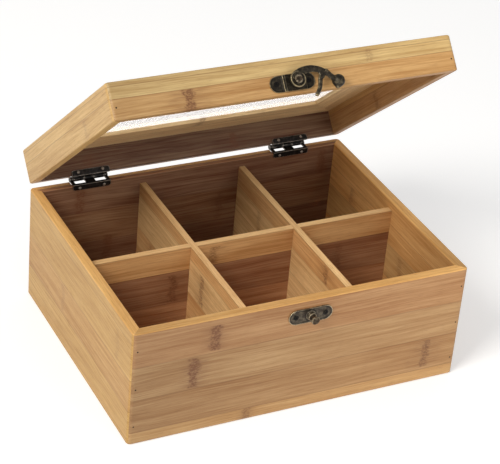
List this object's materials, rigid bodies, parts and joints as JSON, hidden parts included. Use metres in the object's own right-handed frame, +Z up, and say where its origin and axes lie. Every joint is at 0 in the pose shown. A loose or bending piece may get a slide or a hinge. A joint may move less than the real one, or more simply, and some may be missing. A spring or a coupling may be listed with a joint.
{
  "type": "tea bag organizer box",
  "caption": "Bamboo tea bag organizer box with a half-lapped divider grid, a hinged lid with a clear window, and a swinging hook latch that grips a peg.",
  "frame": {"origin": "centre of the body's flat underside, in the plane the box stands on", "axes": "+X to the box's right seen from its front, +Y to the hinged back, +Z up; the lid stands open at rest"},
  "size_m": [0.215, 0.1889, 0.2032],
  "materials": {
    "bamboo": "satin laminated bamboo",
    "antique_bronze": "antique bronze, worn on the edges",
    "blackened_hinge": "blackened stamped sheet",
    "nail_steel": "dull bright steel",
    "pane": "clear polished"
  },
  "bodies": {
    "box": {"front_panel": "bamboo", "back_panel": "bamboo", "left_panel": "bamboo", "right_panel": "bamboo", "bottom_panel": "bamboo", "long_divider": "bamboo", "left_cross_divider": "bamboo", "right_cross_divider": "bamboo", "left_hinge_body_leaf": "blackened_hinge", "right_hinge_body_leaf": "blackened_hinge", "left_hinge_pin": "nail_steel", "right_hinge_pin": "nail_steel", "hinge_body_nails": "nail_steel", "body_brads": "nail_steel", "catch_plate": "antique_bronze", "catch_peg": "antique_bronze", "catch_screws": "nail_steel"},
    "lid": {"lid_front_rail": "bamboo", "lid_back_rail": "bamboo", "lid_left_rail": "bamboo", "lid_right_rail": "bamboo", "window_frame_front": "bamboo", "window_frame_back": "bamboo", "window_frame_left": "bamboo", "window_frame_right": "bamboo", "window_pane": "pane", "left_hinge_lid_leaf": "blackened_hinge", "right_hinge_lid_leaf": "blackened_hinge", "hinge_lid_nails": "nail_steel", "lid_brads": "nail_steel", "latch_plate": "antique_bronze", "latch_rivet": "antique_bronze", "latch_screws": "nail_steel"},
    "hook": {"latch_hook": "antique_bronze"}
  },
  "joints": [
    {"name": "lid_hinge", "type": "hinge", "parent": "box", "child": "lid", "pos_m": [0, 0.0835, 0.0772], "axis": [-1, 0, 0], "range_deg": [-41.7, 59]},
    {"name": "hook_pivot", "type": "hinge", "parent": "lid", "child": "hook", "pos_m": [0.0026, -0.04078, 0.19597], "axis": [0, -0.7559, 0.6547], "range_deg": [-79.5, 95]}
  ]
}
